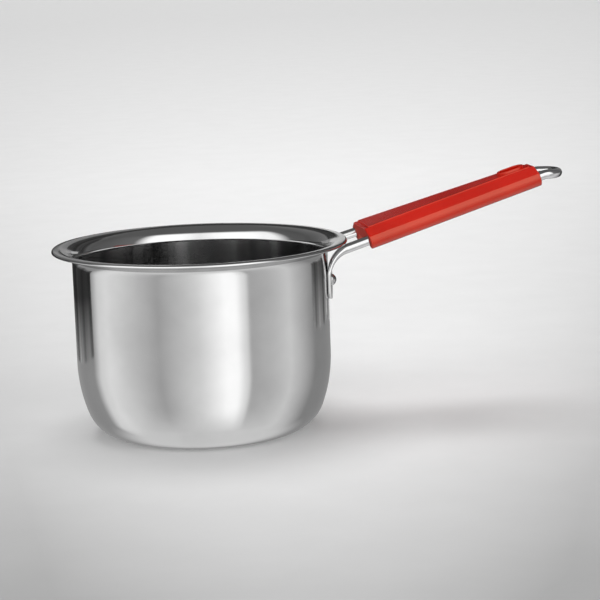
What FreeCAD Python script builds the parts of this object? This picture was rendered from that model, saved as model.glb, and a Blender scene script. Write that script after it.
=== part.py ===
"""Milk pan: a polished steel pan with a riveted wire handle and a moulded two-lobed grip.

The pan stands on its flat base at the origin, its axis is Z, and the handle points along X.
Lengths are in millimetres and angles in degrees.
"""
import FreeCAD, Part
import Sketcher
import math
import os

SIZES = (
    # pan: one deep-drawn sheet, turned out into a flange at the brim
    ("wall_radius", 80.0),
    ("pan_height", 119.5),
    ("sheet_thickness", 0.9),
    ("corner_height", 48.0),
    ("upper_corner_radius", 93.0),
    ("lower_corner_radius", 24.0),
    ("flare_radius", 9.0),
    ("rim_reach", 12.5),
    ("lip_radius", 1.3),
    ("lip_depth", 1.8),
    # handle: one rod bent to a hairpin, closed by a loop, its two ends flattened into tabs
    ("rod_radius", 3.0),
    ("handle_angle", 16.0),
    ("handle_drop", 2.1),
    ("grip_standoff", 24.3),
    ("pan_end_half_spacing", 20.0),
    ("loop_end_half_spacing", 10.5),
    ("bend_radius", 16.0),
    ("tab_thickness", 2.4),
    ("tab_tail", 12.0),
    ("loop_lead", 3.0),
    ("loop_level_radius", 12.0),
    # grip: two lobes joined by a web, a raised crown above, and a hanging slot in a collar
    ("grip_length", 118.5),
    ("lobe_radius", 5.8),
    ("bore_clearance", 0.1),
    ("crest_height", 7.0),
    ("crest_inset", 3.5),
    ("shoulder_height", 3.1),
    ("web_bottom", 1.0),
    ("ridge_edge_radius", 0.8),
    ("grip_edge_radius", 0.7),
    ("crown_step", 0.6),
    ("crown_end_margin", 3.0),
    ("crown_side_margin", 0.5),
    ("crown_edge_radius", 0.4),
    ("slot_length", 15.0),
    ("slot_width", 9.0),
    ("slot_end_margin", 6.5),
    ("collar_width", 1.4),
    ("collar_step", 1.6),
    ("collar_edge_radius", 0.6),
    # rivets: a round head outside, a plain shank and a low head inside the pan
    ("rivet_drop", 3.3),
    ("shank_radius", 2.0),
    ("rivet_clearance", 0.05),
    ("round_head_radius", 3.75),
    ("round_head_height", 2.8),
    ("low_head_radius", 4.2),
    ("low_head_height", 1.4),
)
LEG_SECTIONS = 7
SEAM_HALF_ANGLE = 2.0
FLATTEN_POWER = 1.5

doc = FreeCAD.newDocument("milk_pan")
sheet = doc.addObject("Spreadsheet::Sheet", "sizes")
for row, (name, value) in enumerate(SIZES, start=1):
    sheet.set(f"A{row}", name)
    sheet.set(f"B{row}", str(value))
    sheet.setAlias(f"B{row}", name)
doc.recompute()


def size(name):
    """One driving dimension as the sheet holds it."""
    return float(getattr(sheet, name))


def vec(x, y, z):
    return FreeCAD.Vector(x, y, z)


def origin_plane(body, role):
    """The body's own origin plane of that role."""
    return next(item for item in body.Origin.OriginFeatures if item.Role == role)


def new_body(label):
    body = doc.addObject("PartDesign::Body", label)
    body.Label = label
    return body


def new_sketch(body, name, role, offset=0.0):
    """A sketch on one of the body's origin planes, moved along the plane's normal by offset."""
    sketch = body.newObject("Sketcher::SketchObject", name)
    sketch.AttachmentSupport = [(origin_plane(body, role), "")]
    sketch.MapMode = "FlatFace"
    sketch.AttachmentOffset = FreeCAD.Placement(vec(0, 0, offset), FreeCAD.Rotation())
    return sketch


def line(sketch, start, end):
    return sketch.addGeometry(Part.LineSegment(vec(*start, 0), vec(*end, 0)), False)


def arc(sketch, centre, radius, first, last):
    """A counter-clockwise arc, with its angles in degrees."""
    circle = Part.Circle(vec(*centre, 0), vec(0, 0, 1), radius)
    return sketch.addGeometry(Part.ArcOfCircle(circle, math.radians(first), math.radians(last)), False)


def drive(sketch, name, expression, *constraint):
    """A named dimension of the sketch that follows an expression of the sheet."""
    index = sketch.addConstraint(Sketcher.Constraint(*constraint))
    sketch.renameConstraint(index, name)
    sketch.setExpression(f"Constraints.{name}", expression)


def tie(sketch, *constraints):
    for constraint in constraints:
        sketch.addConstraint(Sketcher.Constraint(*constraint))


def hairpin():
    """The places that the rod, its rivets and the grip share, from the driving dimensions."""
    slope = math.radians(size("handle_angle"))
    start = vec(size("wall_radius") + size("grip_standoff"), size("pan_end_half_spacing"),
                size("pan_height") - size("handle_drop"))
    run = size("grip_length") * math.cos(slope)
    end = vec(start.x + run, size("loop_end_half_spacing"), start.z + size("grip_length") * math.sin(slope))
    along = (end - start).normalize()
    plan = vec(along.x, along.y, 0).normalize()
    rise = math.asin(along.z)
    # the leg comes down where the rod's line in plan crosses the middle of the tab's thickness
    leg_radius = size("wall_radius") + size("tab_thickness") / 2
    reach = start.x * plan.x + start.y * plan.y
    back = reach - math.sqrt(reach ** 2 - (start.x ** 2 + start.y ** 2 - leg_radius ** 2))
    leg = vec(start.x, start.y, 0) - plan * back
    turn = math.pi / 2 - rise
    bend = size("bend_radius")
    bend_out = bend * (1 - math.cos(turn))
    bend_end_height = start.z - (back - bend_out) * math.tan(rise)
    leg_top = bend_end_height - bend * math.sin(turn)
    rivet_height = leg_top - size("rivet_drop")
    return {"start": start, "end": end, "along": along, "plan": plan, "rise": rise, "leg": leg,
            "turn": turn, "leg_top": leg_top, "rivet_height": rivet_height}


PIN = hairpin()


def build_pan():
    """The pan: its sheet's section, turned about the axis, with two rivet holes in the wall."""
    wall, height, sheet_t = size("wall_radius"), size("pan_height"), size("sheet_thickness")
    high, low, flare = size("upper_corner_radius"), size("lower_corner_radius"), size("flare_radius")
    rim, lip, corner = wall + size("rim_reach"), size("lip_radius"), size("corner_height")
    lean = math.asin((corner - low) / (high - low))
    lean_deg = math.degrees(lean)
    high_centre = (wall - high, corner)
    low_centre = (wall - high + (high - low) * math.cos(lean), low)
    flare_centre = (wall + flare, height - sheet_t - flare)
    lip_centre = (rim - lip, height - lip)
    lip_end = height - size("lip_depth")

    body = new_body("pan_body")
    sketch = new_sketch(body, "pan_section", "XZ_Plane")
    base_under = line(sketch, (0, 0), (low_centre[0], 0))
    low_out = arc(sketch, low_centre, low, -90, -lean_deg)
    high_out = arc(sketch, high_centre, high, -lean_deg, 0)
    wall_out = line(sketch, (wall, corner), (wall, flare_centre[1]))
    flare_under = arc(sketch, flare_centre, flare, 90, 180)
    flange_under = line(sketch, (flare_centre[0], height - sheet_t), (lip_centre[0], height - sheet_t))
    lip_in = arc(sketch, lip_centre, lip - sheet_t, 0, 90)
    lip_in_down = line(sketch, (rim - sheet_t, lip_centre[1]), (rim - sheet_t, lip_end))
    lip_edge = line(sketch, (rim - sheet_t, lip_end), (rim, lip_end))
    lip_out_up = line(sketch, (rim, lip_end), (rim, lip_centre[1]))
    lip_out = arc(sketch, lip_centre, lip, 0, 90)
    flange_top = line(sketch, (lip_centre[0], height), (flare_centre[0], height))
    flare_top = arc(sketch, flare_centre, flare + sheet_t, 90, 180)
    wall_in = line(sketch, (wall - sheet_t, flare_centre[1]), (wall - sheet_t, corner))
    high_in = arc(sketch, high_centre, high - sheet_t, -lean_deg, 0)
    low_in = arc(sketch, low_centre, low - sheet_t, -90, -lean_deg)
    base_top = line(sketch, (low_centre[0], sheet_t), (0, sheet_t))
    axis = line(sketch, (0, sheet_t), (0, 0))
    tie(sketch,
        ("Coincident", base_under, 1, -1, 1), ("Horizontal", base_under),
        ("Tangent", base_under, 2, low_out, 1), ("Tangent", low_out, 2, high_out, 1),
        ("Tangent", high_out, 2, wall_out, 1), ("Vertical", wall_out),
        ("Tangent", wall_out, 2, flare_under, 2), ("Tangent", flare_under, 1, flange_under, 1),
        ("Horizontal", flange_under), ("Tangent", flange_under, 2, lip_in, 2),
        ("Tangent", lip_in, 1, lip_in_down, 1), ("Vertical", lip_in_down),
        ("Coincident", lip_in_down, 2, lip_edge, 1), ("Horizontal", lip_edge),
        ("Coincident", lip_edge, 2, lip_out_up, 1), ("Vertical", lip_out_up),
        ("Tangent", lip_out_up, 2, lip_out, 1), ("Tangent", lip_out, 2, flange_top, 1),
        ("Horizontal", flange_top), ("Tangent", flange_top, 2, flare_top, 1),
        ("Tangent", flare_top, 2, wall_in, 1), ("Vertical", wall_in),
        ("Tangent", wall_in, 2, high_in, 2), ("Tangent", high_in, 1, low_in, 2),
        ("Tangent", low_in, 1, base_top, 1), ("Horizontal", base_top),
        ("Coincident", base_top, 2, axis, 1), ("Coincident", axis, 2, base_under, 1), ("Vertical", axis),
        ("Coincident", low_out, 3, low_in, 3), ("Coincident", high_out, 3, high_in, 3),
        ("Coincident", flare_under, 3, flare_top, 3), ("Coincident", lip_in, 3, lip_out, 3))
    drive(sketch, "thickness", "sizes.sheet_thickness", "DistanceY", base_under, 1, base_top, 2, sheet_t)
    drive(sketch, "wall", "sizes.wall_radius", "DistanceX", -1, 1, wall_out, 1, wall)
    drive(sketch, "corner", "sizes.corner_height", "DistanceY", -1, 1, wall_out, 1, corner)
    drive(sketch, "high", "sizes.upper_corner_radius", "Radius", high_out, high)
    drive(sketch, "low", "sizes.lower_corner_radius", "Radius", low_out, low)
    drive(sketch, "flare", "sizes.flare_radius", "Radius", flare_under, flare)
    drive(sketch, "height", "sizes.pan_height", "DistanceY", -1, 1, flange_top, 1, height)
    drive(sketch, "rim", "sizes.wall_radius + sizes.rim_reach", "DistanceX", -1, 1, lip_out_up, 1, rim)
    drive(sketch, "lip", "sizes.lip_radius", "Radius", lip_out, lip)
    drive(sketch, "depth", "sizes.lip_depth", "DistanceY", lip_out_up, 1, flange_top, 1, size("lip_depth"))
    doc.recompute()

    turned = body.newObject("PartDesign::Revolution", "pan_sheet")
    turned.Profile = sketch
    turned.ReferenceAxis = (sketch, ["V_Axis"])
    turned.Angle = 360.0
    doc.recompute()
    for side, word in ((1, "left"), (-1, "right")):
        hole = body.newObject("PartDesign::SubtractiveCylinder", f"rivet_hole_{word}")
        hole.setExpression("Radius", "sizes.shank_radius + sizes.rivet_clearance")
        hole.setExpression("Height", "sizes.wall_radius + sizes.rim_reach")
        hole.Placement = radial_placement(side)
        doc.recompute()
    return body


def radial_placement(side):
    """The frame of one rivet: its axis runs out from the pan's axis through the tab."""
    outward = vec(PIN["leg"].x, side * PIN["leg"].y, 0)
    return FreeCAD.Placement(vec(0, 0, PIN["rivet_height"]), FreeCAD.Rotation(vec(0, 0, 1), outward))


def flattened_section(centre, wide, thick, half_thickness):
    """The rod's section where it is hammered flat: the same area, in a slot shape."""
    rod = size("rod_radius")
    flat = (math.pi * (rod ** 2 - half_thickness ** 2)) / (4 * half_thickness)
    corners = [centre + wide * (flat * a) + thick * (half_thickness * b)
               for a, b in ((1, 1), (-1, 1), (-1, -1), (1, -1))]
    left = centre - wide * (flat + half_thickness)
    right = centre + wide * (flat + half_thickness)
    return Part.Wire([
        Part.LineSegment(corners[0], corners[1]).toShape(),
        Part.Arc(corners[1], left, corners[2]).toShape(),
        Part.LineSegment(corners[2], corners[3]).toShape(),
        Part.Arc(corners[3], right, corners[0]).toShape()])


def round_section(centre, wide, thick):
    """The rod's round section in four arcs, two of them short, to match the flattened one."""
    rod = size("rod_radius")
    seam = math.radians(SEAM_HALF_ANGLE)
    top = math.pi / 2
    ends = [top - seam, top + seam, 3 * top - seam, 3 * top + seam, 5 * top - seam]

    def at(angle):
        return centre + wide * (rod * math.cos(angle)) + thick * (rod * math.sin(angle))

    arcs = []
    for first, last in zip(ends, ends[1:]):
        arcs.append(Part.Arc(at(first), at((first + last) / 2), at(last)).toShape())
    return Part.Wire(arcs)


def mirrored(point):
    return vec(point.x, -point.y, point.z)


def build_leg():
    """One end of the rod: hammered flat through its bend, then a tab down the wall."""
    leg, plan, turn, bend = PIN["leg"], PIN["plan"], PIN["turn"], size("bend_radius")
    tab_half = size("tab_thickness") / 2
    radial = vec(leg.x, leg.y, 0).normalize()
    tangent = vec(-radial.y, radial.x, 0)
    across = vec(-plan.y, plan.x, 0)
    twist = math.degrees(across.getAngle(tangent))
    hub = leg + plan * bend + vec(0, 0, PIN["leg_top"])
    sections = []
    for step in range(LEG_SECTIONS):
        share = step / (LEG_SECTIONS - 1)
        angle = turn * share
        centre = hub - plan * (bend * math.cos(angle)) + vec(0, 0, bend * math.sin(angle))
        forward = plan * math.sin(angle) + vec(0, 0, math.cos(angle))
        wide = FreeCAD.Rotation(forward, twist * (1 - share)).multVec(across)
        thick = forward.cross(wide)
        if step == LEG_SECTIONS - 1:
            sections.append(round_section(centre, wide, thick))
        else:
            half = tab_half + (size("rod_radius") - tab_half) * share ** FLATTEN_POWER
            sections.append(flattened_section(centre, wide, thick, half))
    flattened = Part.makeLoft(sections, True, False)
    drop = size("rivet_drop") + size("tab_tail")
    tab = Part.Face(sections[0]).extrude(vec(0, 0, -drop))
    # the tab's end is rounded across its full width
    half_width = sections[0].BoundBox.DiagonalLength / 2
    tab_end = leg + vec(0, 0, PIN["rivet_height"] - size("tab_tail"))
    one_side = tab_end + vec(0, 0, half_width) + tangent * half_width
    other_side = tab_end + vec(0, 0, half_width) - tangent * half_width
    rise = vec(0, 0, drop)
    outline = Part.Wire([
        Part.Arc(other_side, tab_end, one_side).toShape(),
        Part.LineSegment(one_side, one_side + rise).toShape(),
        Part.LineSegment(one_side + rise, other_side + rise).toShape(),
        Part.LineSegment(other_side + rise, other_side).toShape()])
    blank = Part.Face(outline)
    blank.translate(radial * -size("tab_thickness"))
    return flattened, tab.common(blank.extrude(radial * (2 * size("tab_thickness"))))


def build_rod():
    """The hairpin: two diverging bars, a loop bent level at the end and two flattened legs."""
    along, plan, rise = PIN["along"], PIN["plan"], PIN["rise"]
    level_radius = size("loop_level_radius")
    bend = size("bend_radius")
    bend_end = PIN["leg"] + plan * (bend * (1 - math.cos(PIN["turn"])))
    bend_end.z = PIN["leg_top"] + bend * math.sin(PIN["turn"])
    lead = PIN["end"] + along * size("loop_lead")
    hub = lead + plan * (level_radius * math.sin(rise)) - vec(0, 0, level_radius * math.cos(rise))
    halfway = hub - plan * (level_radius * math.sin(rise / 2))
    halfway.z = hub.z + level_radius * math.cos(rise / 2)
    level = hub + vec(0, 0, level_radius)
    loop_radius = level.y / plan.x
    tip = vec(level.x + loop_radius * (1 + plan.y), 0, level.z)
    edges = [
        Part.LineSegment(bend_end, lead), Part.Arc(lead, halfway, level),
        Part.Arc(level, tip, mirrored(level)),
        Part.Arc(mirrored(level), mirrored(halfway), mirrored(lead)),
        Part.LineSegment(mirrored(lead), mirrored(bend_end))]
    path = Part.Wire([edge.toShape() for edge in edges])
    section = Part.Wire(Part.makeCircle(size("rod_radius"), bend_end, along))
    bar = path.makePipeShell([section], True, False)
    pieces = []
    for piece in build_leg():
        pieces += [piece, piece.mirror(vec(0, 0, 0), vec(0, 1, 0))]
    shape = bar.fuse(pieces)
    for side in (1, -1):
        reach = size("wall_radius") + size("rim_reach")
        hole = Part.makeCylinder(size("shank_radius") + size("rivet_clearance"), reach)
        hole.Placement = radial_placement(side)
        shape = shape.cut(hole)
    rod = doc.addObject("Part::Feature", "handle_rod")
    rod.Label = "handle_rod"
    rod.Shape = shape.Solids[0] if len(shape.Solids) == 1 else shape
    rod.Placement = FreeCAD.Placement()
    return rod


def lobe_section(body, name, offset, half_spacing):
    """One end of the grip: a flat crown, a facet down each side, two lobes and the web between them."""
    sketch = new_sketch(body, name, "YZ_Plane", offset)
    radius, half, inset = size("lobe_radius"), size(half_spacing), size("crest_inset")
    crest, shoulder, bottom = size("crest_height"), size("shoulder_height"), -size("web_bottom")
    shoulder_angle = math.degrees(math.asin(shoulder / radius))
    web_angle = math.degrees(math.asin(-bottom / radius))
    shoulder_out = half + math.sqrt(radius ** 2 - shoulder ** 2)
    web_in = half - math.sqrt(radius ** 2 - bottom ** 2)
    right = arc(sketch, (half, 0), radius, 180 + web_angle, 360 + shoulder_angle)
    right_facet = line(sketch, (shoulder_out, shoulder), (half - inset, crest))
    crown = line(sketch, (half - inset, crest), (inset - half, crest))
    left_facet = line(sketch, (inset - half, crest), (-shoulder_out, shoulder))
    left = arc(sketch, (-half, 0), radius, 180 - shoulder_angle, 360 - web_angle)
    web = line(sketch, (-web_in, bottom), (web_in, bottom))
    tie(sketch,
        ("Coincident", right, 2, right_facet, 1), ("Coincident", right_facet, 2, crown, 1),
        ("Coincident", crown, 2, left_facet, 1), ("Coincident", left_facet, 2, left, 1),
        ("Coincident", left, 2, web, 1), ("Coincident", web, 2, right, 1),
        ("Equal", right, left), ("Symmetric", right, 3, left, 3, -2), ("PointOnObject", right, 3, -1),
        ("Symmetric", crown, 1, crown, 2, -2), ("Horizontal", right_facet, 1, left_facet, 2),
        ("Horizontal", web))
    drive(sketch, "radius", "sizes.lobe_radius", "Radius", right, radius)
    drive(sketch, "half_spacing", f"sizes.{half_spacing}", "DistanceX", -1, 1, right, 3, half)
    drive(sketch, "crest", "sizes.crest_height", "DistanceY", -1, 1, crown, 1, crest)
    drive(sketch, "inset", "sizes.crest_inset", "DistanceX", crown, 1, right, 3, inset)
    drive(sketch, "shoulder", "sizes.shoulder_height", "DistanceY", -1, 1, right_facet, 1, shoulder)
    drive(sketch, "web", "sizes.web_bottom", "DistanceY", web, 1, -1, 1, -bottom)
    return sketch


def slot_sketch(body, name, half_width, half_expression):
    """A long hole's outline along the grip, near its loop end."""
    sketch = new_sketch(body, name, "XY_Plane")
    far = size("grip_length") - size("slot_end_margin") - size("slot_width") / 2
    near = far - size("slot_length") + size("slot_width")
    side_a = line(sketch, (near, -half_width), (far, -half_width))
    end_far = arc(sketch, (far, 0), half_width, -90, 90)
    side_b = line(sketch, (far, half_width), (near, half_width))
    end_near = arc(sketch, (near, 0), half_width, 90, 270)
    tie(sketch,
        ("Tangent", side_a, 2, end_far, 1), ("Tangent", end_far, 2, side_b, 1),
        ("Tangent", side_b, 2, end_near, 1), ("Tangent", end_near, 2, side_a, 1),
        ("PointOnObject", end_far, 3, -1), ("PointOnObject", end_near, 3, -1))
    drive(sketch, "half_width", half_expression, "Radius", end_far, half_width)
    drive(sketch, "far", "sizes.grip_length - sizes.slot_end_margin - sizes.slot_width / 2",
          "DistanceX", -1, 1, end_far, 3, far)
    drive(sketch, "pitch", "sizes.slot_length - sizes.slot_width",
          "DistanceX", end_near, 3, end_far, 3, far - near)
    return sketch


def crown_sketch(body):
    """The raised crown's outline along the grip, narrowing as the bars close up."""
    sketch = new_sketch(body, "crown_outline", "XY_Plane")
    margin, length = size("crown_end_margin"), size("grip_length")
    trim = size("crest_inset") + size("crown_side_margin")
    near, far = size("pan_end_half_spacing") - trim, size("loop_end_half_spacing") - trim
    side_a = line(sketch, (margin, -near), (length - margin, -far))
    end_far = line(sketch, (length - margin, -far), (length - margin, far))
    side_b = line(sketch, (length - margin, far), (margin, near))
    end_near = line(sketch, (margin, near), (margin, -near))
    tie(sketch,
        ("Coincident", side_a, 2, end_far, 1), ("Coincident", end_far, 2, side_b, 1),
        ("Coincident", side_b, 2, end_near, 1), ("Coincident", end_near, 2, side_a, 1),
        ("Symmetric", end_near, 1, end_near, 2, -1), ("Symmetric", end_far, 1, end_far, 2, -1))
    drive(sketch, "margin", "sizes.crown_end_margin", "DistanceX", -1, 1, side_a, 1, margin)
    drive(sketch, "reach", "sizes.grip_length - 2 * sizes.crown_end_margin",
          "DistanceX", side_a, 1, side_a, 2, length - 2 * margin)
    drive(sketch, "near_half", "sizes.pan_end_half_spacing - sizes.crest_inset - sizes.crown_side_margin",
          "DistanceY", side_a, 1, -1, 1, near)
    drive(sketch, "far_half", "sizes.loop_end_half_spacing - sizes.crest_inset - sizes.crown_side_margin",
          "DistanceY", side_a, 2, -1, 1, far)
    return sketch


def edges_where(shape, test):
    """The names of the edges whose bounding box passes the test."""
    return [f"Edge{number}" for number, edge in enumerate(shape.Edges, start=1) if test(edge.BoundBox)]


def fillet(body, name, edges, radius_name):
    """Rounds those edges of the body's newest feature by one driving dimension."""
    rounded = body.newObject("PartDesign::Fillet", name)
    rounded.Base = (rounded.BaseFeature, edges)
    rounded.setExpression("Radius", f"sizes.{radius_name}")
    doc.recompute()


def build_grip():
    """The grip: a tapered two-lobed sleeve under a raised crown, bored for the rod and slotted to hang."""
    body = new_body("grip")
    length = size("grip_length")
    pan_end = lobe_section(body, "pan_end_section", 0.0, "pan_end_half_spacing")
    loop_end = lobe_section(body, "loop_end_section", length, "loop_end_half_spacing")
    loop_end.setExpression("AttachmentOffset.Base.z", "sizes.grip_length")
    doc.recompute()
    sleeve = body.newObject("PartDesign::AdditiveLoft", "sleeve")
    sleeve.Profile = pan_end
    sleeve.Sections = [loop_end]
    doc.recompute()

    crown_outline = crown_sketch(body)
    doc.recompute()
    crown = body.newObject("PartDesign::Pad", "crown")
    crown.Profile = crown_outline
    crown.setExpression("Length", "sizes.crest_height + sizes.crown_step")
    doc.recompute()

    outline = slot_sketch(body, "collar_outline", size("slot_width") / 2 + size("collar_width"),
                          "sizes.slot_width / 2 + sizes.collar_width")
    doc.recompute()
    collar = body.newObject("PartDesign::Pad", "collar")
    collar.Profile = outline
    collar.setExpression("Length", "sizes.crest_height + sizes.crown_step + sizes.collar_step")
    doc.recompute()

    slot = slot_sketch(body, "slot_outline", size("slot_width") / 2, "sizes.slot_width / 2")
    doc.recompute()
    opening = body.newObject("PartDesign::Pocket", "hanging_slot")
    opening.Profile = slot
    opening.Type = "ThroughAll"
    opening.Midplane = True
    doc.recompute()

    lean = math.atan2(size("pan_end_half_spacing") - size("loop_end_half_spacing"), length)
    for side, word in ((1, "left"), (-1, "right")):
        bore = body.newObject("PartDesign::SubtractiveCylinder", f"rod_bore_{word}")
        bore.setExpression("Radius", "sizes.rod_radius + sizes.bore_clearance")
        bore.setExpression("Height", "2 * sizes.grip_length")
        aim = vec(math.cos(lean), -side * math.sin(lean), 0)
        middle = vec(0, side * size("pan_end_half_spacing"), 0)
        bore.Placement = FreeCAD.Placement(middle - aim * (length / 2), FreeCAD.Rotation(vec(0, 0, 1), aim))
        doc.recompute()

    slack = size("crown_step") / 2
    crown_top = size("crest_height") + size("crown_step")
    shoulder = size("shoulder_height") / 2
    rims = edges_where(body.Tip.Shape, lambda box: box.ZMin > crown_top + slack)
    fillet(body, "rounded_collar", rims, "collar_edge_radius")
    ridges = edges_where(body.Tip.Shape, lambda box: box.XLength > length - slack and box.ZMin > shoulder)
    fillet(body, "softened_ridges", ridges, "ridge_edge_radius")
    ends = edges_where(body.Tip.Shape, lambda box: box.XMax < slack or box.XMin > length - slack)
    fillet(body, "eased_ends", ends, "grip_edge_radius")
    level = edges_where(body.Tip.Shape, lambda box: (
        crown_top - slack < box.ZMin and box.ZMax < crown_top + slack
        and (box.XLength > length / 2 or box.XLength < slack)))
    fillet(body, "rounded_crown", level, "crown_edge_radius")
    body.Placement = FreeCAD.Placement(
        vec(PIN["start"].x, 0, PIN["start"].z), FreeCAD.Rotation(vec(0, 1, 0), -size("handle_angle")))
    return body


def build_rivet(side, word):
    """One rivet, turned about its own axis: round head outside, low head inside the pan."""
    body = new_body(f"rivet_{word}")
    sketch = new_sketch(body, f"rivet_section_{word}", "XZ_Plane")
    shank, head, low = size("shank_radius"), size("round_head_radius"), size("low_head_radius")
    head_height, low_height = size("round_head_height"), size("low_head_height")
    # the low head's edge bears on the hollow wall, and the round head on the flat tab
    inner_seat = math.sqrt((size("wall_radius") - size("sheet_thickness")) ** 2 - low ** 2)
    outer_seat = size("wall_radius") + size("tab_thickness")
    dome = (head ** 2 + head_height ** 2) / (2 * head_height)
    dome_angle = math.degrees(math.asin(head / dome))
    crown = (low ** 2 + low_height ** 2) / (2 * low_height)
    crown_angle = math.degrees(math.asin(low / crown))
    crown_arc = arc(sketch, (0, inner_seat - low_height + crown), crown, 270, 270 + crown_angle)
    low_under = line(sketch, (low, inner_seat), (shank, inner_seat))
    side_line = line(sketch, (shank, inner_seat), (shank, outer_seat))
    head_under = line(sketch, (shank, outer_seat), (head, outer_seat))
    dome_arc = arc(sketch, (0, outer_seat + head_height - dome), dome, 90 - dome_angle, 90)
    axis = line(sketch, (0, outer_seat + head_height), (0, inner_seat - low_height))
    tie(sketch,
        ("Coincident", crown_arc, 2, low_under, 1), ("Coincident", low_under, 2, side_line, 1),
        ("Coincident", side_line, 2, head_under, 1), ("Coincident", head_under, 2, dome_arc, 1),
        ("Coincident", dome_arc, 2, axis, 1), ("Coincident", axis, 2, crown_arc, 1),
        ("Horizontal", low_under), ("Horizontal", head_under), ("Vertical", side_line),
        ("PointOnObject", axis, 1, -2), ("PointOnObject", axis, 2, -2),
        ("PointOnObject", crown_arc, 3, -2), ("PointOnObject", dome_arc, 3, -2))
    drive(sketch, "shank", "sizes.shank_radius", "DistanceX", -1, 1, side_line, 1, shank)
    drive(sketch, "head", "sizes.round_head_radius", "DistanceX", -1, 1, dome_arc, 1, head)
    drive(sketch, "low", "sizes.low_head_radius", "DistanceX", -1, 1, low_under, 1, low)
    drive(sketch, "head_height", "sizes.round_head_height",
          "DistanceY", head_under, 1, axis, 1, head_height)
    drive(sketch, "low_height", "sizes.low_head_height", "DistanceY", axis, 2, low_under, 1, low_height)
    drive(sketch, "outer_seat", "sizes.wall_radius + sizes.tab_thickness",
          "DistanceY", -1, 1, head_under, 1, outer_seat)
    drive(sketch, "inner_seat",
          "sqrt((sizes.wall_radius - sizes.sheet_thickness) ^ 2 - sizes.low_head_radius ^ 2)",
          "DistanceY", -1, 1, low_under, 1, inner_seat)
    doc.recompute()
    turned = body.newObject("PartDesign::Revolution", f"turned_rivet_{word}")
    turned.Profile = sketch
    turned.ReferenceAxis = (sketch, ["V_Axis"])
    turned.Angle = 360.0
    body.Placement = radial_placement(side)
    return body


nodes = [build_pan(), build_rod(), build_grip(), build_rivet(1, "left"), build_rivet(-1, "right")]
doc.recompute()
for item in doc.Objects:
    if {"Invalid", "Error"} & set(item.State):
        raise RuntimeError(f"{item.Label} failed: {item.State}")
for node in nodes:
    if node.Shape.isNull() or not node.Shape.isValid() or len(node.Shape.Solids) != 1:
        raise RuntimeError(f"{node.Label} is not one valid solid")

os.makedirs("parts", exist_ok=True)
for node in nodes:
    node.Shape.exportStep(f"parts/{node.Label}.step")
    box = node.Shape.BoundBox
    print(f"{node.Label}: {node.Shape.Volume:.1f} mm3, x {box.XMin:.2f} to {box.XMax:.2f}, "
          f"y {box.YMin:.2f} to {box.YMax:.2f}, z {box.ZMin:.2f} to {box.ZMax:.2f}")
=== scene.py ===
"""Dressed scene of the milk pan: polished vessel, bright wire handle, red grip and rivets."""
import logging
import math
from dataclasses import dataclass
from enum import Enum, auto
from typing import Any, ClassVar, Optional, Sequence

import bmesh
import bpy
from mathutils import Matrix, Quaternion, Vector


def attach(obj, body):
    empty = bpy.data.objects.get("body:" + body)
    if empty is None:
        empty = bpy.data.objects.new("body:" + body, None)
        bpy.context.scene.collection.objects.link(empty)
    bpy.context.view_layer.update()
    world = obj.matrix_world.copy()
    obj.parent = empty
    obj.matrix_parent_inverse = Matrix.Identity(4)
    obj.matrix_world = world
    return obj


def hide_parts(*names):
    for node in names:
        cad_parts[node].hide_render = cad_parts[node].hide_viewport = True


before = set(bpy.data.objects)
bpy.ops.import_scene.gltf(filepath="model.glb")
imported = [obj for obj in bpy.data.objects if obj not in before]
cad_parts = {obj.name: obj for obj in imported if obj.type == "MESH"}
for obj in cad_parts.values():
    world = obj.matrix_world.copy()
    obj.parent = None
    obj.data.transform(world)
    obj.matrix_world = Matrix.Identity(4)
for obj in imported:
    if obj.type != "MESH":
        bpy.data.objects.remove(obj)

MM = 0.001
LOG = logging.getLogger("milk_pan")
WALL_RADIUS = 80.0 * MM
PAN_HEIGHT = 119.5 * MM
HANDLE_SLOPE = math.radians(16.0)
# how far to the left of straight across the handle the photograph was taken
PHOTO_TURN = math.radians(8.0)
# a noise texture's values mostly lie between these two
NOISE_LOW = 0.3
NOISE_HIGH = 0.7
WELD_GAP = 0.0001 * MM
# sockets of the mix node go by number, since their names repeat
MIX_SHARE = 0
NUMBER_A, NUMBER_B, MIXED_NUMBER = 2, 3, 0
COLOUR_A, COLOUR_B, MIXED_COLOUR = 6, 7, 2
Colour = tuple[float, float, float, float]
Point = tuple[float, float]
Ring = list[Vector]


class Solid(Enum):
    """The solids of the part."""

    PAN = "pan_body"
    ROD = "handle_rod"
    GRIP = "grip"
    LEFT_RIVET = "rivet_left"
    RIGHT_RIVET = "rivet_right"


class Slot(Enum):
    """The material slots that the new skins belong to."""

    POLISHED_STEEL = "polished_steel"
    BRIGHT_ROD = "bright_rod"


class Face(Enum):
    """The parts of the pan's sheet, numbered as their finishes are."""

    WALL = 0
    INSIDE = 1
    NECK = 2


class Join(Enum):
    """How a skin's rings follow each other."""

    TURNED = auto()
    SWEPT = auto()


def linear(hex_colour: str) -> Colour:
    """Turns an sRGB hex colour to linear light.

    Args:
        hex_colour: A hash and six hex digits.

    Returns:
        Red, green, blue and an alpha of 1.
    """
    shares = [int(hex_colour[place:place + 2], 16) / 255 for place in (1, 3, 5)]
    red, green, blue = (
        share / 12.92 if share <= 0.04045 else ((share + 0.055) / 1.055) ** 2.4 for share in shares)
    return red, green, blue, 1.0


def grey(level: float) -> Colour:
    """A grey of that linear level."""
    return level, level, level, 1.0


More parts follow.
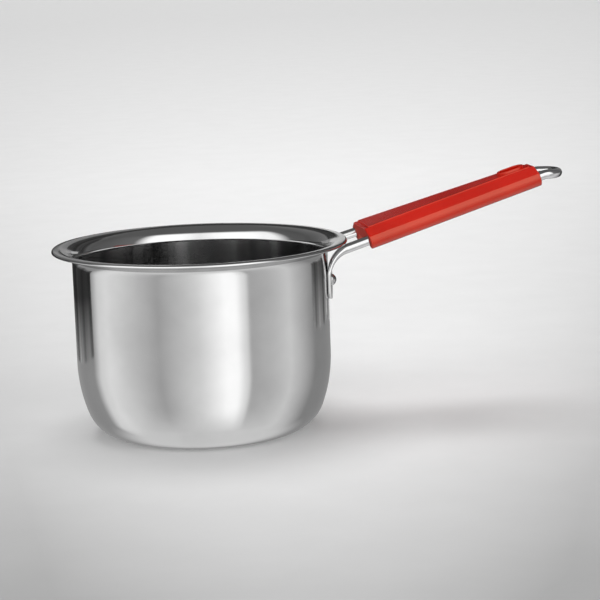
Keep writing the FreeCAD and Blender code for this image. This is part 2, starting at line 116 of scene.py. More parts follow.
def add_node(tree: bpy.types.NodeTree, kind: str, settings: Optional[dict[str, Any]] = None,
             values: Optional[dict[Any, Any]] = None, links: Optional[dict[Any, Any]] = None,
             stops: Sequence[tuple[float, Colour]] = ()) -> bpy.types.Node:
    """Adds one node with its settings, constant values, incoming links and colour stops.

    Args:
        tree: The node tree that gets the node.
        kind: The node's type name.
        settings: Attributes of the node.
        values: Constant values, by input name or number.
        links: Output sockets that feed the inputs, by input name or number.
        stops: Places and colours of a colour ramp, in order.

    Returns:
        The new node.
    """
    node = tree.nodes.new(kind)
    for name, value in (settings or {}).items():
        setattr(node, name, value)
    for name, value in (values or {}).items():
        node.inputs[name].default_value = value
    for name, socket in (links or {}).items():
        tree.links.new(socket, node.inputs[name])
    for number, (place, colour) in enumerate(stops):
        elements = node.color_ramp.elements
        element = elements[number] if number < len(elements) else elements.new(place)
        element.position = place
        element.color = colour
    return node


def new_material(name: str) -> tuple[bpy.types.Material, bpy.types.NodeTree, bpy.types.Node]:
    """Makes a material with nothing but its surface shader.

    Args:
        name: What the material is.

    Returns:
        The material, its node tree and its surface shader.
    """
    material = bpy.data.materials.new(name)
    material.use_nodes = True
    return material, material.node_tree, material.node_tree.nodes["Principled BSDF"]


@dataclass(frozen=True)
class SteelFinish:
    """Stainless steel: its colour, its gloss, and the marks of drawing and buffing."""

    name: str
    pale: str
    dark: str
    roughness: tuple[float, float]
    cloud_mm: tuple[float, float, float]
    line_mm: tuple[float, float, float]
    line_depth_mm: float
    wave_mm: float
    wave_depth_mm: float

    def material(self) -> bpy.types.Material:
        """Builds the metal from a cloudy tint and gloss, fine lines and slow waves.

        Returns:
            The finished material.
        """
        material, tree, shader = new_material(self.name)
        place = add_node(tree, "ShaderNodeTexCoord").outputs["Object"]
        drawn_out, stretched = (
            add_node(tree, "ShaderNodeMapping", links={"Vector": place},
                     values={"Scale": [1 / (length * MM) for length in lengths]}).outputs["Vector"]
            for lengths in (self.cloud_mm, self.line_mm))
        cloud = add_node(tree, "ShaderNodeTexNoise", values={"Scale": 1.0, "Detail": 3.0},
                         links={"Vector": drawn_out}).outputs["Fac"]
        tint = add_node(tree, "ShaderNodeValToRGB", links={"Fac": cloud},
                        stops=((NOISE_LOW, linear(self.dark)), (NOISE_HIGH, linear(self.pale))))
        low, high = self.roughness
        gloss = add_node(tree, "ShaderNodeMapRange", links={"Value": cloud},
                         values={"From Min": NOISE_LOW, "From Max": NOISE_HIGH,
                                 "To Min": low, "To Max": high})
        lines = add_node(tree, "ShaderNodeTexNoise", values={"Scale": 1.0, "Detail": 2.0},
                         links={"Vector": stretched})
        waves = add_node(tree, "ShaderNodeTexNoise", links={"Vector": place},
                         values={"Scale": 1 / (self.wave_mm * MM), "Detail": 1.0})
        broad = add_node(tree, "ShaderNodeBump", values={"Distance": self.wave_depth_mm * MM},
                         links={"Height": waves.outputs["Fac"]})
        fine = add_node(tree, "ShaderNodeBump", values={"Distance": self.line_depth_mm * MM},
                        links={"Height": lines.outputs["Fac"], "Normal": broad.outputs["Normal"]})
        shader.inputs["Metallic"].default_value = 1.0
        tree.links.new(tint.outputs["Color"], shader.inputs["Base Color"])
        tree.links.new(gloss.outputs["Result"], shader.inputs["Roughness"])
        tree.links.new(fine.outputs["Normal"], shader.inputs["Normal"])
        return material


# Deep-drawn stainless sheet, buffed to a mirror. The eye sees clear reflections that waver a little
# and faint rings from the buffing wheel, which are drawn about ten times too coarse so that they show.
MIRROR_SHEET = SteelFinish(
    "mirror_buffed_stainless_sheet", pale="#d5d5d5", dark="#cbcbcb", roughness=(0.07, 0.12),
    cloud_mm=(30.0, 30.0, 30.0), line_mm=(80.0, 80.0, 1.2), line_depth_mm=0.0004, wave_mm=40.0,
    wave_depth_mm=0.012)
# The same sheet inside, left satin below the flare: the light that gets in smears into soft streaks.
SATIN_INSIDE = SteelFinish(
    "satin_stainless_inside", pale="#d2d2d2", dark="#b4b4b4", roughness=(0.12, 0.27),
    cloud_mm=(16.0, 16.0, 400.0), line_mm=(80.0, 80.0, 1.2), line_depth_mm=0.0008, wave_mm=40.0,
    wave_depth_mm=0.012)
# The same sheet under the flare, rougher than the wall and with painted shade: its darker grey tint stands
# in for the shadow under the rim.
SHADED_NECK_SHEET = SteelFinish(
    "stainless_under_rim_painted_shade", pale="#aeaeae", dark="#9c9c9c", roughness=(0.16, 0.26),
    cloud_mm=(16.0, 16.0, 16.0), line_mm=(80.0, 80.0, 1.2), line_depth_mm=0.0008, wave_mm=40.0,
    wave_depth_mm=0.012)
# Drawn stainless rod, as bright as the sheet, with the die's faint lines along its length.
DRAWN_ROD = SteelFinish(
    "bright_drawn_stainless_rod", pale="#dbdbdb", dark="#cccccc", roughness=(0.08, 0.15),
    cloud_mm=(10.0, 10.0, 10.0), line_mm=(9.0, 0.9, 0.9), line_depth_mm=0.0006, wave_mm=18.0,
    wave_depth_mm=0.003)
# Rivets headed cold and tumbled: greyer and softer than the polished sheet.
TUMBLED_RIVET = SteelFinish(
    "tumbled_steel_rivet", pale="#c3c3c3", dark="#a7a7a7", roughness=(0.18, 0.30),
    cloud_mm=(2.5, 2.5, 2.5), line_mm=(0.8, 0.8, 0.8), line_depth_mm=0.003, wave_mm=4.0,
    wave_depth_mm=0.006)


@dataclass(frozen=True)
class PlasticFinish:
    """Moulded plastic: its pigment, its gloss, and the ripple of the mould."""

    name: str
    deep: str
    bright: str
    sheen: str
    specular_level: float
    roughness: tuple[float, float]
    end_roughness: float
    end_facing: tuple[float, float]
    axis: tuple[float, float, float]
    flow_mm: float
    ripple_mm: float
    ripple_depth_mm: float

    def material(self) -> bpy.types.Material:
        """Builds the plastic from a drifting pigment, its gloss, its matt ends and a shallow ripple.

        Returns:
            The finished material.
        """
        material, tree, shader = new_material(self.name)
        coordinates = add_node(tree, "ShaderNodeTexCoord")
        place = coordinates.outputs["Object"]
        flow = add_node(tree, "ShaderNodeTexNoise", values={"Scale": 1 / (self.flow_mm * MM), "Detail": 2.0},
                        links={"Vector": place})
        pigment = add_node(tree, "ShaderNodeValToRGB", links={"Fac": flow.outputs["Fac"]},
                           stops=((NOISE_LOW, linear(self.deep)), (NOISE_HIGH, linear(self.bright))))
        ripple = add_node(tree, "ShaderNodeTexNoise", links={"Vector": place},
                          values={"Scale": 1 / (self.ripple_mm * MM), "Detail": 2.0}).outputs["Fac"]
        low, high = self.roughness
        gloss = add_node(tree, "ShaderNodeMapRange", links={"Value": ripple},
                         values={"From Min": NOISE_LOW, "From Max": NOISE_HIGH,
                                 "To Min": low, "To Max": high})
        lengthwise = add_node(tree, "ShaderNodeVectorMath", {"operation": "DOT_PRODUCT"}, {1: self.axis},
                              {0: coordinates.outputs["Normal"]})
        squareness = add_node(tree, "ShaderNodeMath", {"operation": "ABSOLUTE"},
                              links={0: lengthwise.outputs["Value"]})
        side, end = self.end_facing
        at_end = add_node(tree, "ShaderNodeMapRange", links={"Value": squareness.outputs["Value"]},
                          values={"From Min": side, "From Max": end})
        finish = add_node(tree, "ShaderNodeMix", values={NUMBER_B: self.end_roughness},
                          links={MIX_SHARE: at_end.outputs["Result"], NUMBER_A: gloss.outputs["Result"]})
        dimple = add_node(tree, "ShaderNodeBump", values={"Distance": self.ripple_depth_mm * MM},
                          links={"Height": ripple})
        shader.inputs["Specular IOR Level"].default_value = self.specular_level
        shader.inputs["Specular Tint"].default_value = linear(self.sheen)
        tree.links.new(pigment.outputs["Color"], shader.inputs["Base Color"])
        tree.links.new(finish.outputs[MIXED_NUMBER], shader.inputs["Roughness"])
        tree.links.new(dimple.outputs["Normal"], shader.inputs["Normal"])
        return material


# Injection-moulded polypropylene with a strong red pigment: glossy, with broad soft highlights, and
# matt on the two end faces, where the mould's cores were drawn.
RED_POLYPROPYLENE = PlasticFinish(
    "moulded_red_polypropylene", deep="#a70b01", bright="#b20f03", sheen="#fff0cc", specular_level=0.8,
    roughness=(0.18, 0.24), end_roughness=0.7, end_facing=(0.7, 0.9),
    axis=(math.cos(HANDLE_SLOPE), 0.0, math.sin(HANDLE_SLOPE)), flow_mm=25.0, ripple_mm=3.0,
    ripple_depth_mm=0.005)


@dataclass(frozen=True)
class FloorFinish:
    """Pale screed whose tint carries a painted pool of light, brightest behind the pan, with painted shade
    towards the front and the sides.
    """

    name: str
    # painted pool of light: colour by nearness to a place on the floor in front of the pan: half at the
    # pan's axis, less behind it
    painted_pool_tints: tuple[tuple[float, str], ...]
    front_distance: float
    mottle_mm: float
    mottle_share: float
    painted_side_shade_share: float
    full_fall_nearness: float
    pool_half_width: float
    pool_shift: float
    pool_front: tuple[float, float]
    turn: float
    roughness: float
    specular_level: float

    def material(self) -> bpy.types.Material:
        """Builds the floor's tint, a painted pool of light with painted shade aside, from its nearness, its
        distance aside and a faint mottle.

        Returns:
            The finished material.
        """
        material, tree, shader = new_material(self.name)
        place = add_node(tree, "ShaderNodeTexCoord").outputs["Object"]
        turned = add_node(tree, "ShaderNodeVectorRotate", {"rotation_type": "Z_AXIS"},
                          {"Angle": self.turn}, {"Vector": place})
        split = add_node(tree, "ShaderNodeSeparateXYZ", links={"Vector": turned.outputs["Vector"]})
        depth = add_node(tree, "ShaderNodeMath", {"operation": "ADD"}, {1: self.front_distance},
                         {0: split.outputs["Y"]})
        ahead = add_node(tree, "ShaderNodeMath", {"operation": "MAXIMUM"}, {1: self.front_distance / 2},
                         {0: depth.outputs["Value"]})
        nearness = add_node(tree, "ShaderNodeMath", {"operation": "DIVIDE"}, {0: self.front_distance / 2},
                            {1: ahead.outputs["Value"]}).outputs["Value"]
        tint = add_node(tree, "ShaderNodeValToRGB", links={"Fac": nearness},
                        stops=[(share, linear(colour)) for share, colour in self.painted_pool_tints])
        # painted shade: the floor's tint darkens aside from the pool's middle, more so near the front
        aside = add_node(tree, "ShaderNodeMath", {"operation": "MULTIPLY"},
                         links={0: split.outputs["X"], 1: nearness})
        scaled = add_node(tree, "ShaderNodeMath", {"operation": "SUBTRACT"}, {1: self.pool_shift / 2},
                          {0: aside.outputs["Value"]})
        squared = add_node(tree, "ShaderNodeMath", {"operation": "MULTIPLY"},
                           links={0: scaled.outputs["Value"], 1: scaled.outputs["Value"]})
        weighed = add_node(tree, "ShaderNodeMath", {"operation": "MULTIPLY"},
                           links={0: squared.outputs["Value"], 1: nearness})
        dark, lit = (self.front_distance * share for share in self.pool_front)
        pool_edge = (self.pool_half_width / 2) ** 2
        close = add_node(tree, "ShaderNodeMapRange", links={"Value": depth.outputs["Value"]},
                         values={"From Min": dark, "From Max": lit, "To Min": pool_edge, "To Max": 0.0})
        spread = add_node(tree, "ShaderNodeMath", {"operation": "ADD"},
                          links={0: weighed.outputs["Value"], 1: close.outputs["Result"]})
        fall = add_node(tree, "ShaderNodeMapRange", links={"Value": spread.outputs["Value"]},
                        values={"From Max": pool_edge * self.full_fall_nearness,
                                "To Min": 1.0, "To Max": 1.0 - self.painted_side_shade_share})
        mottle = add_node(tree, "ShaderNodeTexNoise", links={"Vector": place},
                          values={"Scale": 1 / (self.mottle_mm * MM), "Detail": 6.0, "Roughness": 0.6})
        stain = add_node(tree, "ShaderNodeMapRange", links={"Value": mottle.outputs["Fac"]},
                         values={"From Min": NOISE_LOW, "From Max": NOISE_HIGH,
                                 "To Min": 1.0 - self.mottle_share, "To Max": 1.0})
        shade = add_node(tree, "ShaderNodeMath", {"operation": "MULTIPLY"},
                         links={0: fall.outputs["Result"], 1: stain.outputs["Result"]})
        colour = add_node(tree, "ShaderNodeVectorMath", {"operation": "SCALE"},
                          links={"Vector": tint.outputs["Color"], "Scale": shade.outputs["Value"]})
        tree.links.new(colour.outputs["Vector"], shader.inputs["Base Color"])
        shader.inputs["Roughness"].default_value = self.roughness
        shader.inputs["Specular IOR Level"].default_value = self.specular_level
        return material


# Power-floated screed, sealed with a dull coat: pale and almost without gloss. Its tint is a painted pool of
# light, brightest behind the pan, with painted shade towards the front and the sides.
PALE_SCREED = FloorFinish(
    "pale_screed_floor_with_painted_light_pool",
    painted_pool_tints=((0.09, "#dadada"), (0.25, "#f2f2f2"), (0.47, "#f2f2f2"), (0.52, "#e4e4e4"), (0.67, "#c4c4c4")),
    front_distance=1366.0 * MM, mottle_mm=45.0, mottle_share=0.03, painted_side_shade_share=0.28,
    full_fall_nearness=0.58, pool_half_width=180.0 * MM, pool_shift=64.0 * MM, pool_front=(0.5, 0.75),
    turn=PHOTO_TURN, roughness=0.8, specular_level=0.2)


def arc(centre: Point, radius: float, first: float, last: float, steps: int) -> list[Point]:
    """Points along an arc, both ends included.

    Args:
        centre: The arc's middle.
        radius: Its radius.
        first: The angle it starts at, in radians.
        last: The angle it ends at.
        steps: The number of steps.

    Returns:
        The points, in order.
    """
    angles = [first + (last - first) * step / steps for step in range(steps + 1)]
    return [(centre[0] + radius * math.cos(angle), centre[1] + radius * math.sin(angle)) for angle in angles]


def skin(name: str, rings: Sequence[Ring], join: Join, material: bpy.types.Material) -> bpy.types.Object:
    """Joins rings of equally many points into one smooth closed skin.

    Args:
        name: The object's name.
        rings: Open sections turned about an axis, or closed ones swept along a path.
        join: Which of the two they are.
        material: The skin's material.

    Returns:
        The object, in the scene.
    """
    shape = bmesh.new()
    rows = [[shape.verts.new(point) for point in ring] for ring in rings]
    count = len(rows[0])
    spans = count - 1 if join is Join.TURNED else count
    following = rows[1:] + rows[:1] if join is Join.TURNED else rows[1:]
    for first, second in zip(rows, following):
        for place in range(spans):
            after = (place + 1) % count
            shape.faces.new((first[place], first[after], second[after], second[place]))
    if join is Join.SWEPT:
        shape.faces.new(rows[0])
        shape.faces.new(rows[-1])
    bmesh.ops.remove_doubles(shape, verts=shape.verts, dist=WELD_GAP)
    bmesh.ops.recalc_face_normals(shape, faces=shape.faces)
    for face in shape.faces:
        face.smooth = True
    mesh = bpy.data.meshes.new(name)
    shape.to_mesh(mesh)
    shape.free()
    mesh.materials.append(material)
    thing = bpy.data.objects.new(name, mesh)
    bpy.context.scene.collection.objects.link(thing)
    return thing


@dataclass
class Vessel:
    """The pan: one sheet with a flat base, a rounded corner, a straight wall, a flare and a lip."""

    wall: float = WALL_RADIUS
    height: float = PAN_HEIGHT
    sheet: float = 0.9 * MM
    corner: float = 48.0 * MM
    upper_corner: float = 93.0 * MM
    lower_corner: float = 24.0 * MM
    flare: float = 9.0 * MM
    rim: float = WALL_RADIUS + 12.5 * MM
    lip: float = 1.3 * MM
    lip_depth: float = 1.8 * MM
    neck_slope: float = math.sin(math.radians(25.0))
    turns: int = 126
    lower_steps: int = 20
    upper_steps: int = 16
    wall_steps: int = 8
    flare_steps: int = 20
    lip_steps: int = 8
    edge_steps: int = 6

    def face(self, inset: float) -> list[Point]:
        """One face of the sheet in section, from the base's centre to the lip.

        Args:
            inset: 0 for the outer face, the sheet's thickness for the inner one.

        Returns:
            Radius and height of each point.
        """
        lean = math.asin((self.corner - self.lower_corner) / (self.upper_corner - self.lower_corner))
        high = self.wall - self.upper_corner
        low = high + (self.upper_corner - self.lower_corner) * math.cos(lean)
        flare_height = self.height - self.sheet - self.flare
        wall_length = flare_height - self.corner
        lip_centre = (self.rim - self.lip, self.height - self.lip)
        return [
            (0.0, inset),
            (low / 2, inset),
            *arc((low, self.lower_corner), self.lower_corner - inset, -math.pi / 2, -lean, self.lower_steps),
            *arc((high, self.corner), self.upper_corner - inset, -lean, 0.0, self.upper_steps)[1:],
            *((self.wall - inset, self.corner + wall_length * step / self.wall_steps)
              for step in range(1, self.wall_steps)),
            *arc((self.wall + self.flare, flare_height), self.flare + inset, math.pi, math.pi / 2,
                 self.flare_steps),
            *arc(lip_centre, self.lip - self.sheet + inset, math.pi / 2, 0.0, self.lip_steps)]

    def build(self) -> bpy.types.Object:
        """Turns the section about the axis.

        Returns:
            The pan, in place of its solid.
        """
        lip_end = arc((self.rim - self.sheet / 2, self.height - self.lip_depth + self.sheet / 2),
                      self.sheet / 2, -math.pi, 0.0, self.edge_steps)
        section = [*self.face(0.0), *lip_end, *self.face(self.sheet)[::-1]]
        rings = []
        for turn in range(self.turns):
            angle = 2 * math.pi * turn / self.turns
            rings.append([Vector((r * math.cos(angle), r * math.sin(angle), z)) for r, z in section])
        vessel = skin("vessel", rings, Join.TURNED, MIRROR_SHEET.material())
        vessel.data.materials.append(SATIN_INSIDE.material())
        vessel.data.materials.append(SHADED_NECK_SHEET.material())
        brim = Vector((0, 0, self.height))
        for facet in vessel.data.polygons:
            in_flare = facet.center.z > self.height - self.sheet - self.flare
            inside = facet.normal.dot(brim - facet.center) > 0
            face = Face.WALL
            if inside and not in_flare:
                face = Face.INSIDE
            # the flare's downward faces get the painted shade under the rim
            elif in_flare and facet.normal.z < -self.neck_slope:
                face = Face.NECK
            facet.material_index = face.value
        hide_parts(Solid.PAN.value)
        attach(vessel, "root")
        return vessel


@dataclass
class WireHandle:
    """The hairpin: two bars, a loop bent level and two ends hammered flat on the wall."""

    wall: float = WALL_RADIUS
    pan_height: float = PAN_HEIGHT
    rod: float = 3.0 * MM
    slope: float = HANDLE_SLOPE
    drop: float = 2.1 * MM
    standoff: float = 24.3 * MM
    pan_half: float = 20.0 * MM
    loop_half: float = 10.5 * MM
    bend: float = 16.0 * MM
    tab: float = 2.4 * MM
    tab_length: float = 15.3 * MM
    lead: float = 3.0 * MM
    level: float = 12.0 * MM
    grip_length: float = 118.5 * MM
    swell: float = 1.5
    tip_start: float = math.radians(3.0)
    around: int = 40
    tab_steps: int = 8
    bend_steps: int = 24
    level_steps: int = 6
    loop_steps: int = 16

    def ring(self, centre: Vector, wide: Vector, forward: Vector, half: float, narrow: float = 1.0) -> Ring:
        """The rod's section at one place: round, or a slot of the same area where it is hammered flat.

        Args:
            centre: The section's middle.
            wide: Unit direction of its width.
            forward: Unit direction of the rod.
            half: Half its thickness.
            narrow: The share of its width that is left, below 1 at a tab's rounded end.

        Returns:
            The section's points.
        """
        thick = forward.cross(wide)
        flat = math.pi * (self.rod ** 2 - half ** 2) / (4 * half)
        points = []
        for step in range(self.around):
            angle = 2 * math.pi * (step + 0.5) / self.around - math.pi / 2
            reach = math.copysign(flat, math.cos(angle)) + half * math.cos(angle)
            points.append(centre + wide * (reach * narrow) + thick * (half * math.sin(angle)))
        return points

    def left_rings(self) -> list[Ring]:
        """The left half's sections, from the tab's end to the tip of the loop.

        Returns:
            The sections, in order.
        """
        up = Vector((0, 0, 1))
        start = Vector((self.wall + self.standoff, self.pan_half, self.pan_height - self.drop))
        end = Vector((start.x + self.grip_length * math.cos(self.slope), self.loop_half,
                      start.z + self.grip_length * math.sin(self.slope)))
        along = (end - start).normalized()
        plan = Vector((along.x, along.y, 0)).normalized()
        across = Vector((-plan.y, plan.x, 0))
        rise = math.asin(along.z)
        turn = math.pi / 2 - rise
        # the leg stands where the bar's line in plan meets the middle of the tab
        below_start = Vector((start.x, start.y, 0))
        reach = below_start.dot(plan)
        back = reach - math.sqrt(reach ** 2 - below_start.length_squared + (self.wall + self.tab / 2) ** 2)
        leg = below_start - plan * back
        bend_end = start.z - (back - self.bend * (1 - math.cos(turn))) * math.tan(rise)
        leg_top = bend_end - self.bend * math.sin(turn)
        tangent = Vector((-leg.y, leg.x, 0)).normalized()
        half = self.tab / 2
        rings = []
        # the tab, from its rounded end up the wall
        width = math.pi * (self.rod ** 2 - half ** 2) / (4 * half) + half
        for step in range(self.tab_steps + 1):
            angle = self.tip_start + (math.pi / 2 - self.tip_start) * step / self.tab_steps
            height = leg_top - self.tab_length + width * (1 - math.cos(angle))
            rings.append(self.ring(leg + up * height, tangent, up, half, math.sin(angle)))
        # the bend, where the rod swells from flat to round
        hub = leg + plan * self.bend + up * leg_top
        twist = across.angle(tangent)
        for step in range(self.bend_steps + 1):
            share = step / self.bend_steps
            angle = turn * share
            forward = plan * math.sin(angle) + up * math.cos(angle)
            centre = hub - plan * (self.bend * math.cos(angle)) + up * (self.bend * math.sin(angle))
            wide = Quaternion(forward, twist * (1 - share)) @ across
            rings.append(self.ring(centre, wide, forward, half + (self.rod - half) * share ** self.swell))
        # the bar, then the curve that brings it level
        bar_end = end + along * self.lead
        rings.append(self.ring(bar_end, across, along, self.rod))
        hub = bar_end + plan * (self.level * math.sin(rise)) - up * (self.level * math.cos(rise))
        for step in range(1, self.level_steps + 1):
            angle = rise * (1 - step / self.level_steps)
            forward = plan * math.cos(angle) + up * math.sin(angle)
            centre = hub - plan * (self.level * math.sin(angle)) + up * (self.level * math.cos(angle))
            rings.append(self.ring(centre, across, forward, self.rod))
        # the loop, to its tip
        radius = hub.y / plan.x
        hub = Vector((hub.x + radius * plan.y, 0, hub.z + self.level))
        first = math.atan2(plan.x, -plan.y)
        for step in range(1, self.loop_steps + 1):
            angle = first * (1 - step / self.loop_steps)
            out = Vector((math.cos(angle), math.sin(angle), 0))
            rings.append(self.ring(hub + out * radius, out, out.cross(up), self.rod))
        return rings

    def build(self) -> bpy.types.Object:
        """Joins the left half to its mirror image.

        Returns:
            The handle's rod, in place of its solid.
        """
        left = self.left_rings()
        right = [[Vector((point.x, -point.y, point.z)) for point in ring] for ring in left[-2::-1]]
        handle = skin("wire_handle", left + right, Join.SWEPT, DRAWN_ROD.material())
        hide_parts(Solid.ROD.value)
        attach(handle, "root")
        return handle


@dataclass
class Fitting:
    """Solids that keep their own shape and share a finish."""

    solids: tuple[Solid, ...]
    finish: SteelFinish | PlasticFinish

    def dress(self) -> list[bpy.types.Object]:
        """Gives each solid the finish.

        Returns:
            The dressed objects.
        """
        material = self.finish.material()
        dressed = [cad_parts[solid.value] for solid in self.solids]
        for thing in dressed:
            for slot in thing.material_slots:
                slot.material = material
        return dressed


@dataclass
class PhotoCamera:
    """The camera, where the photograph was taken from."""

    distance: float = 1402.0 * MM
    elevation: float = math.radians(12.964)
    yaw: float = math.radians(2.587)
    pitch: float = math.radians(9.72)
    roll: float = math.radians(-2.032)
    turn: float = PHOTO_TURN
    lift: float = 0.22 * MM
    lens_mm: float = 132.0

    def place(self) -> bpy.types.Object:
        """Stands the camera in the scene.

        Returns:
            The camera.
        """
        eye = Vector((0, -math.cos(self.elevation), math.sin(self.elevation))) * self.distance
        eye.z += self.lift
        look = Vector((math.sin(self.yaw) * math.cos(self.pitch), math.cos(self.yaw) * math.cos(self.pitch),
                       -math.sin(self.pitch)))
        right = look.cross(Vector((0, 0, 1))).normalized()
        pose = Matrix((right, right.cross(look), -look)).transposed() @ Matrix.Rotation(self.roll, 3, "Z")
        stand = Matrix.LocRotScale(eye, pose.to_quaternion(), None)
        camera = bpy.data.objects.new("photo_camera", bpy.data.cameras.new("photo_camera"))
        camera.data.lens = self.lens_mm
        camera.matrix_world = Matrix.Rotation(-self.turn, 4, "Z") @ stand
        bpy.context.scene.collection.objects.link(camera)
        bpy.context.scene.camera = camera
        return camera


@dataclass(frozen=True)
class Flag:
    """A flat sheet out of the camera's sight that only glossy surfaces show: its tint, which changes with
    height and is striped with painted fold shade, is a painted reflection in the metal.
    """

    name: str
    first: Point
    last: Point
    height: float
    top_level: float
    foot_level: float
    fade_share: float = 0.6
    pleat: float = 50.0 * MM
    painted_fold_shade_depth: float = 0.7
    pleat_edges: tuple[float, float] = (0.35, 0.65)

    def stand(self) -> bpy.types.Object:
        """Stands the flag on the floor.

        Returns:
            The flag.
        """
        material, tree, shader = new_material(f"glossy_only_sheet_painted_reflection_{self.name}")
        place = add_node(tree, "ShaderNodeTexCoord").outputs["Object"]
        split = add_node(tree, "ShaderNodeSeparateXYZ", links={"Vector": place})
        # painted reflection: the sheet's tint runs from foot_level at the floor to top_level higher up
        fade = add_node(tree, "ShaderNodeMapRange", links={"Value": split.outputs["Z"]}, values={
            "From Max": self.height * self.fade_share, "To Min": self.foot_level, "To Max": self.top_level})
        upright = add_node(tree, "ShaderNodeMapping", links={"Vector": place},
                           values={"Scale": (1 / self.pleat, 1 / self.pleat, 0.0)})
        # painted fold shade: noise stripes on the flat sheet stand in for the light and shade of pleats
        folds = add_node(tree, "ShaderNodeTexNoise", values={"Scale": 1.0, "Detail": 1.0},
                         links={"Vector": upright.outputs["Vector"]})
        valley, ridge = self.pleat_edges
        fold = add_node(tree, "ShaderNodeMapRange", links={"Value": folds.outputs["Fac"]},
                        values={"From Min": valley, "From Max": ridge, "To Min": 1 - self.painted_fold_shade_depth,
                                "To Max": 1 + self.painted_fold_shade_depth})
        shade = add_node(tree, "ShaderNodeMath", {"operation": "MULTIPLY"},
                         links={0: fade.outputs["Result"], 1: fold.outputs["Result"]})
        tree.links.new(shade.outputs["Value"], shader.inputs["Base Color"])
        shader.inputs["Roughness"].default_value = 1.0
        mesh = bpy.data.meshes.new(self.name)
        feet = (self.first, self.last)
        mesh.from_pydata([(*foot, 0.0) for foot in feet] + [(*foot, self.height) for foot in feet[::-1]],
                         [], [(0, 1, 2, 3)])
        mesh.materials.append(material)
        flag = bpy.data.objects.new(self.name, mesh)
        flag.matrix_world = Matrix.Rotation(-PHOTO_TURN, 4, "Z")
        flag.visible_camera = False
        flag.visible_diffuse = False
        flag.visible_shadow = False
        bpy.context.scene.collection.objects.link(flag)
        return flag


# Sheets whose colours are painted reflections: dark ones give the wall its dark edges and keep the grip's
# top deep red; pale ones put bright painted reflections on the rim's tips.
FLAGS = (
    Flag("left_flag", (-338.0 * MM, 95.0 * MM), (-90.0 * MM, 300.0 * MM), height=160.0 * MM, top_level=0.03,
         foot_level=0.30, fade_share=0.3),
    Flag("back_flag", (300.0 * MM, 350.0 * MM), (-25.0 * MM, 370.0 * MM), height=500.0 * MM, top_level=0.03,
         foot_level=0.30, fade_share=0.22),
    Flag("right_card", (130.0 * MM, 335.0 * MM), (20.0 * MM, 350.0 * MM), height=178.0 * MM, top_level=0.45,
         foot_level=0.05, painted_fold_shade_depth=0.1),
    Flag("left_card", (20.0 * MM, 350.0 * MM), (-130.0 * MM, 352.0 * MM), height=185.0 * MM, top_level=0.25,
         foot_level=0.04, painted_fold_shade_depth=0.1),
    Flag("right_flag", (410.0 * MM, 140.0 * MM), (270.0 * MM, 330.0 * MM), height=160.0 * MM, top_level=0.03,
         foot_level=0.28, fade_share=0.35))


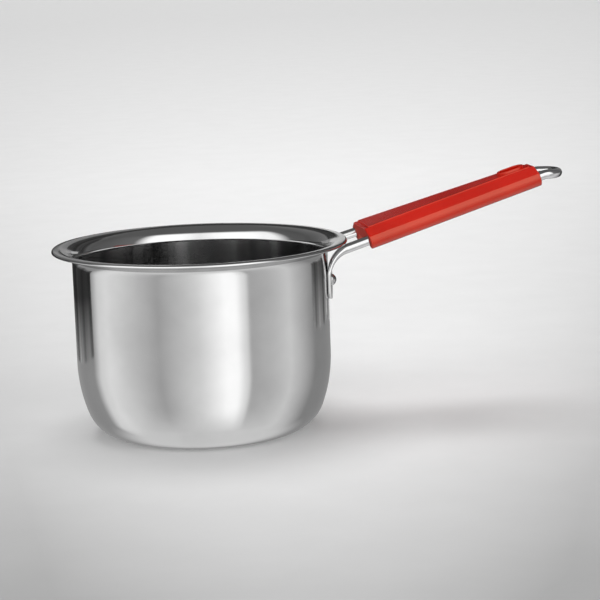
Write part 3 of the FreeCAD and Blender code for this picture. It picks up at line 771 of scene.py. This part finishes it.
@dataclass
class Studio:
    """A pale floor and soft light: bright in front, dim above and behind, as the pan mirrors it."""

    # brightness by bearing in degrees, 0 towards the camera and rising to the right
    low_panels: ClassVar[tuple[Point, ...]] = (
        (-180, 0.34), (-137, 0.34), (-118, 0.38), (-107, 0.95), (-95, 1.05), (-40, 0.50), (-5, 0.95),
        (20, 1.5), (30, 1.5), (36, 1.1), (40, 0.95), (42.5, 0.54), (62, 0.66), (84, 0.86), (100, 0.62),
        (120, 0.31), (180, 0.31))
    high_panels: ClassVar[tuple[Point, ...]] = (
        (-180, 0.26), (-125, 0.12), (-95, 0.15), (-78, 1.4), (-40, 1.7), (-15, 1.5), (0, 1.25), (15, 1.6),
        (40, 1.8), (50, 1.5), (64, 0.2), (120, 0.12), (180, 0.26))

    turn: float = PHOTO_TURN
    floor_half: float = 15.0
    brightest: float = 2.0
    sun_strength: float = 1.65
    front_strength: float = 2.5
    sun_tilt: float = math.radians(-11.0)
    sun_lean: float = math.radians(-4.0)
    sun_angle: float = math.radians(42.0)
    overhead: float = 0.14
    ground: float = 0.85
    # how far up or down a direction points, as a sine, where one part of the room gives way to the next
    horizon: tuple[float, float] = (-0.06, 0.06)
    ceiling_edge: tuple[float, float] = (0.70, 0.86)
    ground_edge: tuple[float, float] = (-0.54, -0.88)

    def lay_floor(self) -> bpy.types.Object:
        """Lays the floor.

        Returns:
            The floor.
        """
        half = self.floor_half
        mesh = bpy.data.meshes.new("floor")
        corners = [(-half, -half, 0), (half, -half, 0), (half, half, 0), (-half, half, 0)]
        mesh.from_pydata(corners, [], [(0, 1, 2, 3)])
        mesh.materials.append(PALE_SCREED.material())
        floor = bpy.data.objects.new("floor", mesh)
        floor.visible_glossy = False
        bpy.context.scene.collection.objects.link(floor)
        return floor

    def light(self) -> None:
        """Sets the panels round the pan, a broad soft light above it and another in front."""
        world = bpy.data.worlds.new("soft_studio")
        bpy.context.scene.world = world
        world.use_nodes = True
        tree = world.node_tree
        tree.nodes.clear()
        way = add_node(tree, "ShaderNodeSeparateXYZ",
                       links={"Vector": add_node(tree, "ShaderNodeTexCoord").outputs["Generated"]})
        angle = add_node(tree, "ShaderNodeMath", {"operation": "ARCTAN2"},
                         links={0: way.outputs["Y"], 1: way.outputs["X"]})
        # the bearing is a share of a full turn, one half of it towards the camera
        turns = add_node(tree, "ShaderNodeMath", {"operation": "MULTIPLY_ADD"},
                         {1: 0.5 / math.pi, 2: 0.75 + self.turn / (2 * math.pi)},
                         {0: angle.outputs["Value"]})
        bearing = add_node(tree, "ShaderNodeMath", {"operation": "FRACT"}, links={0: turns.outputs["Value"]})
        low, high = (
            add_node(tree, "ShaderNodeValToRGB", links={"Fac": bearing.outputs["Value"]},
                     stops=[(0.5 + degrees / 360, grey(level / self.brightest))
                            for degrees, level in panels])
            for panels in (self.low_panels, self.high_panels))
        light = low.outputs["Color"]
        for (start, end), values, links in (
                (self.horizon, {}, {COLOUR_B: high.outputs["Color"]}),
                (self.ceiling_edge, {COLOUR_B: grey(self.overhead / self.brightest)}, {}),
                (self.ground_edge, {COLOUR_B: grey(self.ground / self.brightest)}, {})):
            share = add_node(tree, "ShaderNodeMapRange", {"interpolation_type": "SMOOTHSTEP"},
                             {"From Min": start, "From Max": end}, {"Value": way.outputs["Z"]})
            mix = add_node(tree, "ShaderNodeMix", {"data_type": "RGBA"}, values,
                           {MIX_SHARE: share.outputs["Result"], COLOUR_A: light, **links})
            light = mix.outputs[MIXED_COLOUR]
        room = add_node(tree, "ShaderNodeBackground", values={"Strength": self.brightest},
                        links={"Color": light})
        add_node(tree, "ShaderNodeOutputWorld", links={"Surface": room.outputs["Background"]})
        for name, strength, tilt in (("overhead_softbox", self.sun_strength, self.sun_tilt),
                                     ("front_softbox", self.front_strength, math.pi / 2)):
            lamp = bpy.data.lights.new(name, "SUN")
            lamp.energy = strength
            lamp.angle = self.sun_angle
            softbox = bpy.data.objects.new(name, lamp)
            softbox.rotation_euler = (tilt, self.sun_lean, -self.turn)
            softbox.visible_glossy = False
            bpy.context.scene.collection.objects.link(softbox)


def main() -> None:
    """Builds the pan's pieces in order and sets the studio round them."""
    logging.basicConfig(level=logging.INFO, format="%(message)s")
    bpy.context.scene.view_settings.view_transform = "Standard"
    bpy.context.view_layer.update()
    pieces = [Vessel().build(), WireHandle().build()]
    pieces += Fitting((Solid.GRIP,), RED_POLYPROPYLENE).dress()
    pieces += Fitting((Solid.LEFT_RIVET, Solid.RIGHT_RIVET), TUMBLED_RIVET).dress()
    for piece in pieces:
        LOG.info("%s: %d faces", piece.name, len(piece.data.polygons))
    PhotoCamera().place()
    studio = Studio()
    studio.lay_floor()
    for flag in FLAGS:
        flag.stand()
    studio.light()
    bpy.context.view_layer.update()


if __name__ == "__main__":
    main()
